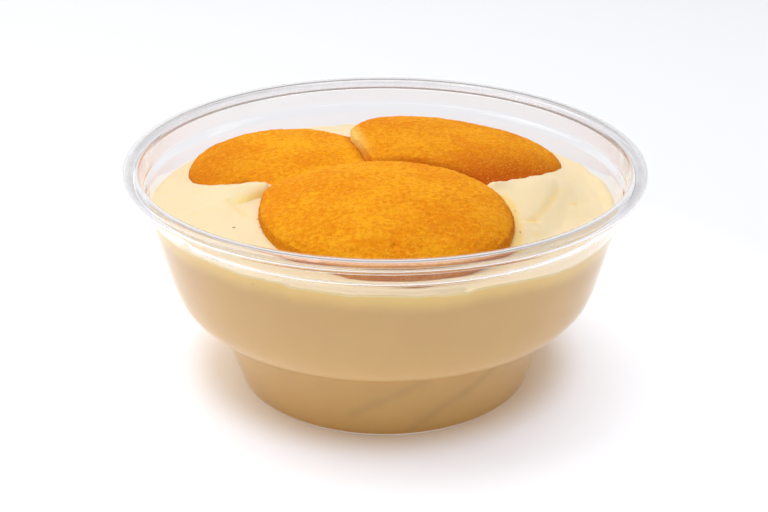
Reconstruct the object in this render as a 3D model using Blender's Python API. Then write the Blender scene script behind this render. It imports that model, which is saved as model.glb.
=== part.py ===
"""Banana pudding in a clear dessert cup, with three vanilla wafers pressed into its top.

Metres, +Z up. The origin is under the middle of the cup, on the surface that it stands on.
The cup is a thin turned shell. The pudding fills it and is cut round the wafers. The front
wafer lies over the two behind it, and the right wafer lies over the left one.
"""

import math

import bmesh
import bpy
from mathutils import Matrix, Vector, noise

# The cup
RIM_RADIUS = 0.0475
CUP_HEIGHT = 0.0431
WALL = 0.0006
BEAD_WIDTH = 0.0031
BEAD_HEIGHT = 0.0024
NECK_RADIUS = 0.0449
LEDGE_RADIUS = 0.0445
LEDGE_HEIGHT = 0.0380
STEP_HEIGHT = 0.0148
STEP_DROP = 0.0002
FOOT_TOP_RADIUS = 0.0324
FOOT_RADIUS = 0.0278
FOOT_ROUND = 0.0008
BEAD_START = math.radians(-75)
BEAD_SWEEP = math.radians(255)
BEAD_POINTS = 9
CUP_SEGMENTS = 72

# The bowl widens from the step to the ledge: share of that height, and radius
BOWL_FLARE = (
    (0.02, 0.0345),
    (0.08, 0.0371),
    (0.18, 0.0389),
    (0.32, 0.0401),
    (0.50, 0.0411),
    (0.75, 0.0424),
    (0.96, 0.0437),
)

# The rounded corner of the foot: share of its radius left out, and share of its height
FOOT_CORNER = ((1.0, 0.0), (0.25, 0.25), (0.0, 1.0))

# The pudding
GAP = 0.0003
WALL_LEVEL = 0.0348
SIDE_TOP = 0.0318
LEVEL_LEAN = 0.0012
LEAN_TOWARDS = math.radians(235)
LEVEL_WAVE = 0.0005
WAVE_TOWARDS = math.radians(240)
MIDDLE_RISE = 0.0022
RISE_STARTS = 0.039
RISE_ENDS = 0.027
SURFACE_RINGS = 20
SURFACE_RIPPLE = 0.00018
RIPPLE_SIZE = 0.009

# Swells of the pudding's top: middle, half length, half width, turn and height
SWELLS = {
    "fold between the wafers": ((-0.0242, -0.0052), 0.0050, 0.0024, math.radians(42), 0.0017),
    "tail of the fold": ((-0.0275, -0.0105), 0.0070, 0.0030, math.radians(55), 0.0007),
    "bank by the right wafer": ((0.0250, -0.0012), 0.0150, 0.0062, math.radians(48), 0.0014),
    "trough beside the bank": ((0.0310, -0.0115), 0.0095, 0.0026, math.radians(70), -0.0007),
    "bank at the front": ((0.0160, -0.0375), 0.0090, 0.0040, math.radians(25), 0.0005),
}

# The wafers
WAFER_SEGMENTS = 54
WAFER_DOME_RINGS = 8
WAFER_EDGE_RINGS = 4
WAFER_POWER = 2.2
WAFER_BOTTOM = 0.0034
WAFER_FLAT_SHARE = 0.86
WAFER_LUMP = 0.00022
WAFER_LUMP_SIZE = 0.011
BULGE_WIDTH = math.radians(11)
FLAT_CORNER = 60

# Each wafer: middle of its widest ring, half width, how oval and how three-lobed its outline
# is and towards where, height of its dome, and tilts about X and then Y. The front wafer also
# bulges a little at one place of its outline, by a share of its half width
WAFERS = {
    "wafer_front": {
        "middle": (0.0005, -0.0169, 0.0374),
        "radius": 0.0225,
        "oval": 0.024,
        "oval_towards": math.radians(112),
        "lobes": 0.015,
        "lobes_towards": math.radians(50),
        "dome": 0.0050,
        "tilt_x": math.radians(1.0),
        "tilt_y": math.radians(1.0),
        "bulge": 0.050,
        "bulge_towards": math.radians(157),
    },
    "wafer_right": {
        "middle": (0.0137, 0.0149, 0.0364),
        "radius": 0.0206,
        "oval": 0.030,
        "oval_towards": math.radians(170),
        "lobes": 0.055,
        "lobes_towards": math.radians(30),
        "dome": 0.0039,
        "tilt_x": math.radians(0.0),
        "tilt_y": math.radians(8.0),
        "flat_reach": 0.0183,
        "flat_towards": math.radians(197.5),
    },
    "wafer_left": {
        "middle": (-0.0183, 0.0108, 0.0344),
        "radius": 0.0197,
        "oval": 0.030,
        "oval_towards": math.radians(117),
        "lobes": 0.010,
        "lobes_towards": math.radians(58),
        "dome": 0.0050,
        "tilt_x": math.radians(2.0),
        "tilt_y": math.radians(0.2),
    },
}

SHARP_ANGLE = math.radians(35)

# Base colour, roughness and transmission of each piece
FINISHES = {
    "cup": ((0.93, 0.94, 0.95), 0.05, 1.0),
    "pudding": ((0.87, 0.66, 0.36), 0.45, 0.0),
    "wafer_front": ((0.82, 0.37, 0.04), 0.70, 0.0),
    "wafer_right": ((0.78, 0.32, 0.03), 0.70, 0.0),
    "wafer_left": ((0.78, 0.32, 0.03), 0.70, 0.0),
}


def clear_scene():
    for thing in list(bpy.data.objects):
        bpy.data.objects.remove(thing, do_unlink=True)


def add_object(name, shape):
    """An object made from a bmesh, with its faces turned outwards and shaded smooth."""
    bmesh.ops.recalc_face_normals(shape, faces=shape.faces)
    mesh = bpy.data.meshes.new(name)
    shape.to_mesh(mesh)
    shape.free()
    mesh.shade_smooth()
    mesh.set_sharp_from_angle(angle=SHARP_ANGLE)
    thing = bpy.data.objects.new(name, mesh)
    bpy.context.scene.collection.objects.link(thing)
    return thing


def add_finish(thing):
    colour, roughness, transmission = FINISHES[thing.name]
    material = bpy.data.materials.new(thing.name)
    material.use_nodes = True
    shader = material.node_tree.nodes["Principled BSDF"]
    shader.inputs["Base Color"].default_value = (*colour, 1.0)
    shader.inputs["Roughness"].default_value = roughness
    shader.inputs["Metallic"].default_value = 0.0
    shader.inputs["Transmission Weight"].default_value = transmission
    thing.data.materials.append(material)


def skin(rings, start, end):
    """A closed bmesh over rings of equal counts of points, with a pole at each end."""
    shape = bmesh.new()
    loops = [[shape.verts.new(point) for point in ring] for ring in rings]
    first = shape.verts.new(start)
    last = shape.verts.new(end)
    count = len(loops[0])
    for i in range(count):
        j = (i + 1) % count
        shape.faces.new((first, loops[0][j], loops[0][i]))
        for lower, upper in zip(loops, loops[1:]):
            shape.faces.new((lower[i], lower[j], upper[j], upper[i]))
        shape.faces.new((last, loops[-1][i], loops[-1][j]))
    return shape


def circle(radius, height):
    turns = (math.tau * i / CUP_SEGMENTS for i in range(CUP_SEGMENTS))
    return [(radius * math.cos(a), radius * math.sin(a), height) for a in turns]


def foot_corner(radius, height):
    """The rounded corner between a floor at this height and the side that stands on it."""
    return [
        (radius - inwards * FOOT_ROUND, height + upwards * FOOT_ROUND)
        for inwards, upwards in FOOT_CORNER
    ]


def wall_profile():
    """Outer side of the cup below its bead, as (radius, height) from the foot up."""
    rise = LEDGE_HEIGHT - STEP_HEIGHT
    profile = foot_corner(FOOT_RADIUS, 0.0)
    profile.append((FOOT_TOP_RADIUS, STEP_HEIGHT - STEP_DROP))
    profile += [(radius, STEP_HEIGHT + share * rise) for share, radius in BOWL_FLARE]
    profile.append((LEDGE_RADIUS, LEDGE_HEIGHT))
    profile.append((NECK_RADIUS, CUP_HEIGHT - BEAD_HEIGHT))
    return profile


def offset_inwards(profile, distance):
    """The same side moved into the cup by a distance, at right angles to itself."""
    moved = []
    for i, (radius, height) in enumerate(profile):
        before = profile[max(i - 1, 0)]
        after = profile[min(i + 1, len(profile) - 1)]
        along = Vector((after[0] - before[0], after[1] - before[1])).normalized()
        moved.append((radius - along.y * distance, height + along.x * distance))
    return moved


def bead_profile():
    """The rolled rim, from the outer wall over its top to the inner wall."""
    middle = RIM_RADIUS - BEAD_WIDTH / 2
    height = CUP_HEIGHT - BEAD_HEIGHT / 2
    points = []
    for i in range(BEAD_POINTS):
        turn = BEAD_START + BEAD_SWEEP * i / (BEAD_POINTS - 1)
        across = BEAD_WIDTH / 2 * math.cos(turn)
        upwards = BEAD_HEIGHT / 2 * math.sin(turn)
        points.append((middle + across, height + upwards))
    return points


def inner_profile(distance):
    """The inside of the cup, or a side further in, from the floor up to the neck."""
    side = offset_inwards(wall_profile()[len(FOOT_CORNER) :], distance)
    taper = (FOOT_TOP_RADIUS - FOOT_RADIUS) / STEP_HEIGHT
    radius = FOOT_RADIUS + taper * (distance + FOOT_ROUND) - distance
    return foot_corner(radius, distance) + side


def radius_at(profile, height):
    """Radius of a rising profile at a height, or of its end nearest to that height."""
    for (lower_radius, lower), (upper_radius, upper) in zip(profile, profile[1:]):
        if lower <= height <= upper:
            share = (height - lower) / (upper - lower)
            return lower_radius + (upper_radius - lower_radius) * share
    return profile[-1][0] if height > profile[-1][1] else profile[0][0]


def make_cup():
    outer = wall_profile()
    inner = inner_profile(WALL)
    profile = [*outer, *bead_profile(), *reversed(inner)]
    rings = [circle(radius, height) for radius, height in profile]
    return add_object("cup", skin(rings, (0, 0, 0), (0, 0, WALL)))


def swell_height(x, y):
    total = 0.0
    for (middle_x, middle_y), length, width, turn, height in SWELLS.values():
        along = (x - middle_x) * math.cos(turn) + (y - middle_y) * math.sin(turn)
        across = (y - middle_y) * math.cos(turn) - (x - middle_x) * math.sin(turn)
        total += height * math.exp(-((along / length) ** 2) - (across / width) ** 2)
    return total


def surface_height(x, y):
    """Height of the pudding's top: low at the wall, higher between the wafers."""
    radius = math.hypot(x, y)
    direction = math.atan2(y, x)
    lean = LEVEL_LEAN * math.cos(direction - LEAN_TOWARDS)
    lean += LEVEL_WAVE * math.cos(2 * (direction - WAVE_TOWARDS))
    lean *= min(radius / RISE_STARTS, 1)
    share = (RISE_STARTS - radius) / (RISE_STARTS - RISE_ENDS)
    share = min(max(share, 0.0), 1.0)
    rise = MIDDLE_RISE * share * share * (3 - 2 * share)
    ripple = SURFACE_RIPPLE * noise.noise(Vector((x, y, 0)) / RIPPLE_SIZE)
    return WALL_LEVEL + lean + rise + ripple + swell_height(x, y)


def make_pudding():
    """The filling: it follows the inside of the cup, and its top is uneven."""
    side = inner_profile(WALL + GAP)
    rings = [circle(radius, height) for radius, height in side if height < SIDE_TOP]
    edge = []
    for x, y, _ in circle(radius_at(side, WALL_LEVEL), WALL_LEVEL):
        height = surface_height(x, y)
        wider = radius_at(side, height) / math.hypot(x, y)
        edge.append((x * wider, y * wider, height))
    rings.append(edge)
    for ring in range(1, SURFACE_RINGS):
        share = 1 - ring / SURFACE_RINGS
        spots = [(x * share, y * share) for x, y, _ in edge]
        rings.append([(x, y, surface_height(x, y)) for x, y in spots])
    floor = (0, 0, side[0][1])
    top = (0, 0, surface_height(0, 0))
    return add_object("pudding", skin(rings, floor, top))


def wafer_shape(
    middle,
    radius,
    oval,
    oval_towards,
    lobes,
    lobes_towards,
    dome,
    tilt_x,
    tilt_y,
    bulge=0.0,
    bulge_towards=0.0,
    flat_reach=0.0,
    flat_towards=0.0,
    grow=0.0,
):
    """A domed biscuit with a rounded edge and a flat underside, or one grown all round."""

    def rim(turn):
        uneven = oval * math.cos(2 * (turn - oval_towards))
        uneven += lobes * math.cos(3 * (turn - lobes_towards))
        aside = math.remainder(turn - bulge_towards, math.tau) / BULGE_WIDTH
        uneven += bulge * math.exp(-(aside**2))
        reach = radius * (1 + uneven)
        facing = math.cos(turn - flat_towards)
        if flat_reach and facing > 0:
            # The straight side meets the round one in a soft corner
            bends = reach**-FLAT_CORNER + (flat_reach / facing) ** -FLAT_CORNER
            reach = bends ** (-1 / FLAT_CORNER)
        return reach + grow

    def ring(share, height, depth_sign):
        points = []
        for i in range(WAFER_SEGMENTS):
            turn = math.tau * i / WAFER_SEGMENTS
            reach = rim(turn) * share
            x = reach * math.cos(turn)
            y = reach * math.sin(turn)
            spot = Vector((x + middle[0], y + middle[1], middle[2])) / WAFER_LUMP_SIZE
            lump = WAFER_LUMP * noise.noise(spot) * depth_sign
            points.append((x, y, height + lump))
        return points

    bottom = WAFER_BOTTOM + grow
    top = dome + grow
    rings = [ring(WAFER_FLAT_SHARE, -bottom, 0)]
    for i in range(1, WAFER_EDGE_RINGS):
        turn = math.pi / 2 * (1 - i / WAFER_EDGE_RINGS)
        share = WAFER_FLAT_SHARE + (1 - WAFER_FLAT_SHARE) * math.cos(turn)
        rings.append(ring(share, -bottom * math.sin(turn), 0))
    for i in range(WAFER_DOME_RINGS):
        turn = math.pi / 2 * i / WAFER_DOME_RINGS
        share = math.cos(turn) ** (2 / WAFER_POWER)
        rings.append(ring(share, top * math.sin(turn) ** (2 / WAFER_POWER), math.sin(turn)))
    spot = Vector(middle) / WAFER_LUMP_SIZE
    crown = top + WAFER_LUMP * noise.noise(spot)
    shape = skin(rings, (0, 0, -bottom), (0, 0, crown))
    place = Matrix.Translation(middle)
    place @= Matrix.Rotation(tilt_y, 4, "Y") @ Matrix.Rotation(tilt_x, 4, "X")
    shape.transform(place)
    return shape


def make_wafer(name):
    return add_object(name, wafer_shape(**WAFERS[name]))


def make_cutter(name):
    """A wafer grown by the gap, which cuts room for that wafer out of a neighbour."""
    cutter = add_object(f"{name}_room", wafer_shape(**WAFERS[name], grow=GAP))
    cutter.hide_render = True
    cutter.display_type = "WIRE"
    return cutter


def cut(thing, cutter, solver="EXACT"):
    modifier = thing.modifiers.new(f"Room for {cutter.name}", "BOOLEAN")
    modifier.operation = "DIFFERENCE"
    modifier.solver = solver
    modifier.object = cutter


def main():
    clear_scene()
    cup = make_cup()
    pudding = make_pudding()
    wafers = {name: make_wafer(name) for name in WAFERS}
    cutters = {name: make_cutter(name) for name in WAFERS}
    # The exact solver empties the pudding at its third cut, so the manifold one makes all three
    for cutter in cutters.values():
        cut(pudding, cutter, solver="MANIFOLD")
    cut(wafers["wafer_left"], cutters["wafer_front"])
    cut(wafers["wafer_left"], cutters["wafer_right"])
    cut(wafers["wafer_right"], cutters["wafer_front"])
    for thing in (cup, pudding, *wafers.values()):
        add_finish(thing)


if __name__ == "__main__":
    main()
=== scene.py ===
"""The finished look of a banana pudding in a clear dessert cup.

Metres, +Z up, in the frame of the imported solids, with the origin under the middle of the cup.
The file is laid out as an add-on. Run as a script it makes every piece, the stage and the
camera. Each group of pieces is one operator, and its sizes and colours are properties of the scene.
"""

import math

import bmesh
import bpy
import numpy as np
from bpy.props import FloatProperty, FloatVectorProperty, IntProperty, PointerProperty
from mathutils import Matrix, Vector, noise
from mathutils.bvhtree import BVHTree


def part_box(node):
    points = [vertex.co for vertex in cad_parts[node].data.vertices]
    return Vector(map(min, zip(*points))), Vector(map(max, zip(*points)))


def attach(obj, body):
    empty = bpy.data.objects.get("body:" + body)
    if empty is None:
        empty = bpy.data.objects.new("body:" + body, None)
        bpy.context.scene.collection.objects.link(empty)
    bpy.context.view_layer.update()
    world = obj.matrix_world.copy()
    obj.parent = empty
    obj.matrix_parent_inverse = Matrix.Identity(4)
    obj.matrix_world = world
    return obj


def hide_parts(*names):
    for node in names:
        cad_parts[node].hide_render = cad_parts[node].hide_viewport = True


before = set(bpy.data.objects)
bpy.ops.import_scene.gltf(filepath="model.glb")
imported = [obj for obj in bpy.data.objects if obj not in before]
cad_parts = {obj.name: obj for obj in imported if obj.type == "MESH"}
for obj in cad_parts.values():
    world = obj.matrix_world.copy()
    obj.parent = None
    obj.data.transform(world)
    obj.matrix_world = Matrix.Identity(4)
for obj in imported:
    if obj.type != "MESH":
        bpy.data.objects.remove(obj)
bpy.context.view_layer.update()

bl_info = {
    "name": "Banana Pudding Cup",
    "version": (1, 0, 0),
    "blender": (4, 5, 0),
    "location": "View3D > Sidebar > Pudding",
    "description": "Builds a banana pudding with vanilla wafers in a clear dessert cup",
    "category": "Object",
}

CUP_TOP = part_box("cup")[1]
BODY = "root"
WAFERS = ("wafer_front", "wafer_right", "wafer_left")
MM = 0.001

# Points closer to each other than this are joined
SEAM = 0.000002

# The wall of the cup, as (radius, height, rounding) from the foot to the neck
FOOT = ((0.0278, 0.0, 0.0008), (0.0324, 0.0146, 0.0004))
BOWL = (
    (0.0345, 0.01526),
    (0.0371, 0.01666),
    (0.0389, 0.01898),
    (0.0401, 0.02222),
    (0.0411, 0.02640),
    (0.0424, 0.03220),
    (0.0437, 0.03707),
)
LEDGE = (0.0445, 0.0380, 0.00012)
LEDGE_INSIDE = 0.0030
NECK_RADIUS = 0.0449
SMALLEST_BEND = 0.0001
BOWL_STEPS = 8
CORNER_STEPS = 6
BEAD_STEPS = 44
BEAD_END = math.radians(-120)
BEAD_INSIDE = math.radians(180)

# Breaks in the ledge where cups are kept apart in a stack: direction, width and depth, the height
# over which they fade, and how far in from the neck they reach
LEDGE_BREAKS = ((math.radians(-138.3), 0.0011, 0.00045), (math.radians(-39.2), 0.0007, 0.00035))
BREAK_HEIGHT = 0.0007
BREAK_REACH = 0.0040

# Fine waves in the plastic, in waves to the metre and height, and how often light turns in it
WALL_WAVES = 160.0
WALL_WAVE_HEIGHT = 0.00006
MOST_TURNS_IN_WALL = 3.5

# The pudding's grid: steps round it, rows up its side and rows in over its top
PUDDING_TURNS = 480
SIDE_ROWS = 44
EDGE_ROWS = 14
TOP_ROWS = 112
INNER_ROWS = 12

# Shares of the top's radius: where its fine rows end, where its rows stop, and the width of its edge
FINE_REACH = 0.38
INNER_END = 0.02
EDGE_SHARE = 0.1

# How closely the rows of the edge crowd to its top, the height where the side's even rows end, and
# how far inside the solid's edge its height is read
EDGE_CROWD = 0.8
SIDE_TOP = 0.0312
SOLID_EDGE = 0.0004

# Where the pudding meets the wafers: how near to one its height isn't read, how far it tucks under
# one and reaches into it, and how often filled heights are averaged and then softened
WAFER_NEAR = 0.00045
WAFER_TUCK = 0.0005
WAFER_SINK = 0.00025
FILL_ROUNDS = 1500
SOFTEN_ROUNDS = 6

# The uneven top and the line where it laps up the wall, as layers of strength, size and seed, and
# how steeply the lapping fades away from the wall
RIPPLES = ((1.0, 0.0055, 0.0), (0.35, 0.0021, 4.0))
LAPS = ((1.0, 0.0085, 7.0), (0.8, 0.0024, 5.0))
LAP_FADES = 4


def length(name, description, default):
    return FloatProperty(
        name=name, description=description, default=default, min=0.0, precision=5, unit="LENGTH"
    )


def share(name, description, default, highest=1.0):
    return FloatProperty(
        name=name, description=description, default=default, min=0.0, max=highest, precision=3
    )


def colour(name, description, default):
    return FloatVectorProperty(
        name=name, description=description, default=default, min=0.0, max=1.0, subtype="COLOR"
    )


def count(name, description, default):
    return IntProperty(name=name, description=description, default=default, min=1)


class CupLook(bpy.types.PropertyGroup):
    rim_radius: length("Rim radius", "Radius over the rolled rim", CUP_TOP.x)
    height: length("Height", "Height of the rim above the floor", CUP_TOP.z)
    wall: length("Wall", "Thickness of the plastic", 0.0006)
    bead_width: length("Bead width", "Width of the rolled rim", 0.0031)
    bead_height: length("Bead height", "Height of the rolled rim", 0.0024)
    curl_wall: length("Curl wall", "Thickness of the rolled wall", 0.0005)
    waviness: length("Waviness", "How far the thin wall strays from round", 0.00006)
    wave_size: length("Wave size", "Size of the waves in the wall", 0.012)
    segments: count("Segments", "Steps round the cup", 320)
    tint: colour("Tint", "Colour of the clear plastic", (0.905, 0.893, 0.90))
    roughness: share("Roughness", "Roughness of the plastic", 0.03)
    ior: share("IOR", "How strongly the plastic bends light", 1.5, highest=3.0)


class PuddingLook(bpy.types.PropertyGroup):
    top: colour("Top", "Colour of the pudding's free top", (0.875, 0.705, 0.44))
    # Painted light: the brim colour brightens the top beside the front wall, where it lies in shade
    brim: colour("Brim", "Colour of its top beside the front wall", (1.0, 0.82, 0.54))
    # The side and foot colours are partly the pudding's tan against the wall and partly painted shade: darker
    # than the top, and darker still in the foot
    side: colour("Side", "Colour of the pudding pressed against the wall", (0.755, 0.45, 0.140))
    foot: colour("Foot", "Colour of the pudding in the foot", (0.68, 0.385, 0.093))
    # Painted light: the edge colour is a brighter yellow band below the line at the wall, for light that
    # comes down through the pudding from its top
    edge: colour("Edge", "Colour just below the line where it meets the wall", (0.98, 0.67, 0.205))
    lip: colour("Lip", "Colour of the line where it meets the wall", (1.0, 0.78, 0.42))
    # This yellow tone is used for the pudding's own yellow bits and mottling, and for painted shade in the
    # creases, the pit and on the fold's face
    yellow_and_shade_tone: colour("Syrup", "Colour of the wet yellow streaks", (0.93, 0.64, 0.17))
    overlap: length("Overlap", "How far the pudding reaches into the wall", 0.0001)
    ripple: length("Ripple", "Height of the broad ripples of its top", 0.00016)
    lap: length("Lap", "How unevenly it laps up the wall", 0.00022)
    roughness: share("Roughness", "Roughness of the pudding", 0.48)


class WaferLook(bpy.types.PropertyGroup):
    golden: colour("Golden", "Colour of the baked top", (0.95, 0.405, 0.010))
    browned: colour("Browned", "Colour of the darker baked patches", (0.82, 0.255, 0.002))
    edge: colour("Edge", "Colour of the browned rim", (0.64, 0.17, 0.001))
    dark: colour("Dark", "Colour of the side that is baked darkest", (0.50, 0.075, 0.0005))
    # Painted shadow where one wafer lies on another, and painted shade in the left wafer's notch above the
    # fold
    seam: colour("Seam", "Colour where one wafer lies on another", (0.33, 0.040, 0.001))
    # Painted highlights: the spark colour is drawn on the peaks of the grain's bumps
    grain_highlight: colour("Spark", "Colour of the light grains of the baked top", (0.95, 0.50, 0.05))
    pale: colour("Pale", "Colour of the crumb on the straight side", (0.97, 0.66, 0.18))
    grain: length("Grain", "Height of the fine grain of the baked top", 0.00009)
    crumble: length("Crumble", "Height of the crumbs on the straight side", 0.00014)
    voxel: length("Voxel", "Size of the faces of the baked surface", 0.00023)
    roughness: share("Roughness", "Roughness of the wafers", 0.72)


class SprinkleLook(bpy.types.PropertyGroup):
    sugar_density: share("Sugar density", "Sugar grains on a square millimetre", 0.40, highest=5.0)
    sugar_size: length("Sugar size", "Size of a sugar grain", 0.00012)
    sugar: colour("Sugar", "Colour of the sugar grains", (0.95, 0.55, 0.10))
    crumb: colour("Crumb", "Colour of the crumbs", (0.92, 0.72, 0.42))
    fleck: colour("Fleck", "Colour of the dark flecks of banana", (0.46, 0.27, 0.22))


class StageLook(bpy.types.PropertyGroup):
    floor: colour("Floor", "Colour of the floor", (0.87, 0.88, 0.90))
    floor_size: length("Floor size", "Side of the floor", 6.0)
    front_light: share("Front light", "Light of the room towards the camera", 0.28, highest=5.0)
    back_light: share("Back light", "Light of the backdrop behind the cup", 1.0, highest=5.0)
    upper_light: share("Upper light", "Light of the room above the backdrop", 0.45, highest=5.0)
    top_light: share("Top light", "Light of the room overhead", 0.80, highest=5.0)
    lean: share("Lean", "How much brighter the room is on the left than on the right", 0.22)
    glow: share("Glow", "Light that the table gives off by itself round the cup", 0.40)
    glow_beyond: share("Glow beyond", "Light that the table gives off by itself further away", 0.04)
    glow_near: colour("Glow near", "Colour of the table's own light close to the cup", (0.22, 0.13, 0.06))
    glow_far: colour("Glow far", "Colour of the table's own light away from the cup", (0.78, 0.84, 1.0))


# Helpers for meshes


def settings(group):
    return getattr(bpy.context.scene, f"pudding_cup_{group}")


def new_object(name, mesh):
    thing = bpy.data.objects.new(name, mesh)
    bpy.context.scene.collection.objects.link(thing)
    return thing


def closed_skin(name, rings, start, end):
    """A closed mesh over rings of points, shaped (rings, turns, 3), with a pole at each end."""
    ring_count, turns, _ = rings.shape
    points = np.vstack([rings.reshape(-1, 3), [start, end]])
    first = len(points) - 2
    last = len(points) - 1
    here = np.arange(turns)
    after = (here + 1) % turns
    rows = np.arange(ring_count - 1)[:, None] * turns
    quads = np.stack([rows + here, rows + after, rows + turns + after, rows + turns + here], axis=-1)
    top_row = (ring_count - 1) * turns
    faces = quads.reshape(-1, 4).tolist()
    faces += [(first, b, a) for a, b in zip(here.tolist(), after.tolist())]
    faces += [(last, top_row + a, top_row + b) for a, b in zip(here.tolist(), after.tolist())]
    mesh = bpy.data.meshes.new(name)
    mesh.from_pydata(points.tolist(), [], faces)
    mesh.shade_smooth()
    return new_object(name, mesh)


def array_of(items, name):
    """The vectors of a mesh's items as rows of an array."""
    values = np.empty(len(items) * 3, np.float32)
    items.foreach_get(name, values)
    return values.reshape(-1, 3).astype(float)


def set_points(mesh, points):
    mesh.vertices.foreach_set("co", points.astype(np.float32).ravel())
    mesh.update()


def add_attribute(mesh, name, values):
    attribute = mesh.attributes.new(name, "FLOAT", "POINT")
    attribute.data.foreach_set("value", np.asarray(values, np.float32).ravel())


def make_plain(thing):
    """Gives an object the mesh that its modifiers make, and removes them."""
    graph = bpy.context.evaluated_depsgraph_get()
    evaluated = thing.evaluated_get(graph)
    mesh = bpy.data.meshes.new_from_object(evaluated, preserve_all_data_layers=True, depsgraph=graph)
    thing.modifiers.clear()
    thing.data = mesh
    mesh.name = thing.name
    if not mesh.polygons:
        raise RuntimeError(f"{thing.name} came out empty")
    return mesh


def mesh_of(shape, name):
    """Turns a bmesh into a mesh, and frees it."""
    mesh = bpy.data.meshes.new(name)
    shape.to_mesh(mesh)
    shape.free()
    return mesh


def merged_copy(node, name):
    """An object of one connected mesh, copied from the loose triangles of a CAD node."""
    shape = bmesh.new()
    shape.from_mesh(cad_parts[node].data)
    bmesh.ops.remove_doubles(shape, verts=shape.verts, dist=SEAM)
    return new_object(name, mesh_of(shape, name))


def surface_tree(thing, matrix=Matrix.Identity(4)):
    """A tree for casting rays at an object, moved by a matrix."""
    points = [matrix @ vertex.co for vertex in thing.data.vertices]
    return BVHTree.FromPolygons(points, [tuple(face.vertices) for face in thing.data.polygons])


def search_tree(node, matrix=Matrix.Identity(4)):
    """A tree for casting rays at a CAD node, moved by a matrix."""
    return surface_tree(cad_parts[node], matrix)


def seen_from_above(tree, x, y):
    """Where a ray straight down from the height of the rim meets a surface, or None."""
    return tree.ray_cast(Vector((x, y, CUP_TOP.z)), Vector((0, 0, -1)))[0]


def closed_slab(name, top, bottom):
    """A closed mesh between two grids of points, each shaped (rows, columns, 3)."""
    rows, columns, _ = top.shape
    below = rows * columns
    index = np.arange(below).reshape(rows, columns)
    quads = np.stack([index[:-1, :-1], index[1:, :-1], index[1:, 1:], index[:-1, 1:]], axis=-1).reshape(-1, 4)
    faces = quads.tolist() + (quads[:, ::-1] + below).tolist()
    rim = [*index[0, :-1], *index[:-1, -1], *index[-1, :0:-1], *index[:0:-1, 0]]
    for a, b in zip(rim, rim[1:] + rim[:1]):
        faces.append((int(a), int(b), int(b) + below, int(a) + below))
    mesh = bpy.data.meshes.new(name)
    mesh.from_pydata(np.vstack([top.reshape(-1, 3), bottom.reshape(-1, 3)]).tolist(), [], faces)
    shape = bmesh.new()
    shape.from_mesh(mesh)
    bmesh.ops.recalc_face_normals(shape, faces=shape.faces)
    shape.to_mesh(mesh)
    shape.free()
    mesh.shade_smooth()
    return new_object(name, mesh)


def noise_at(points, size, seed=0.0):
    """Smooth noise from -1 to 1 at each point."""
    offset = Vector((seed, seed * 0.7, seed * 1.3))
    return np.array([noise.noise(Vector(point) / size + offset) for point in points])


def finish_piece(piece, material, slot, *nodes):
    piece.data.materials.clear()
    piece.data.materials.append(material)
    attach(piece, BODY)
    if nodes:
        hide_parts(*nodes)


# Helpers for node trees


def feed(tree, socket, value):
    """Sets an input, or links it where the value is the socket that it comes from."""
    if isinstance(value, bpy.types.NodeSocket):
        tree.links.new(value, socket)
    else:
        socket.default_value = value


def set_inputs(tree, node, inputs):
    """Feeds a node's inputs, given by name or number."""
    for name, value in inputs.items():
        feed(tree, node.inputs[name], value)


def add_node(tree, kind, inputs=None, **options):
    """A node with its options set and its inputs fed."""
    node = tree.nodes.new(kind)
    for name, value in options.items():
        setattr(node, name, value)
    set_inputs(tree, node, inputs or {})
    return node


def new_tree(name, kind, inputs, outputs):
    """A node tree with named sockets, the sockets that it is given and those that it fills."""
    tree = bpy.data.node_groups.new(name, kind)
    for direction, sockets in (("INPUT", inputs), ("OUTPUT", outputs)):
        for label, holds in sockets.items():
            tree.interface.new_socket(label, in_out=direction, socket_type=f"NodeSocket{holds}")
    return tree, add_node(tree, "NodeGroupInput").outputs, add_node(tree, "NodeGroupOutput").inputs


def finish_tree(tree, geometry, material, result):
    """Ends a tree of geometry nodes: instances made real, and the material set."""
    real = add_node(tree, "GeometryNodeRealizeInstances", {"Geometry": geometry}).outputs[0]
    finish = add_node(tree, "GeometryNodeSetMaterial", {"Geometry": real, "Material": material})
    feed(tree, result, finish.outputs[0])


def calculate(tree, operation, *values):
    """A Math node. Each value is a number or the socket that it comes from."""
    node = add_node(tree, "ShaderNodeMath", operation=operation)
    for socket, value in zip(node.inputs, values):
        feed(tree, socket, value)
    return node.outputs[0]


def mix_colours(tree, factor, first, second):
    node = add_node(tree, "ShaderNodeMix", {0: factor}, data_type="RGBA")
    for socket, value in ((node.inputs[6], first), (node.inputs[7], second)):
        feed(tree, socket, value if isinstance(value, bpy.types.NodeSocket) else (*value, 1.0))
    return node.outputs[2]


def spread(tree, value, low, high, to_low=0.0, to_high=1.0):
    """A value from low to high turned into one from to_low to to_high, smoothly and clamped."""
    inputs = {"Value": value, "From Min": low, "From Max": high, "To Min": to_low, "To Max": to_high}
    return add_node(tree, "ShaderNodeMapRange", inputs, interpolation_type="SMOOTHSTEP").outputs["Result"]


def new_material(name):
    material = bpy.data.materials.new(name)
    material.use_nodes = True
    return material, material.node_tree, material.node_tree.nodes["Principled BSDF"]


def attribute(tree, name):
    return add_node(tree, "ShaderNodeAttribute", attribute_name=name).outputs["Fac"]


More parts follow.
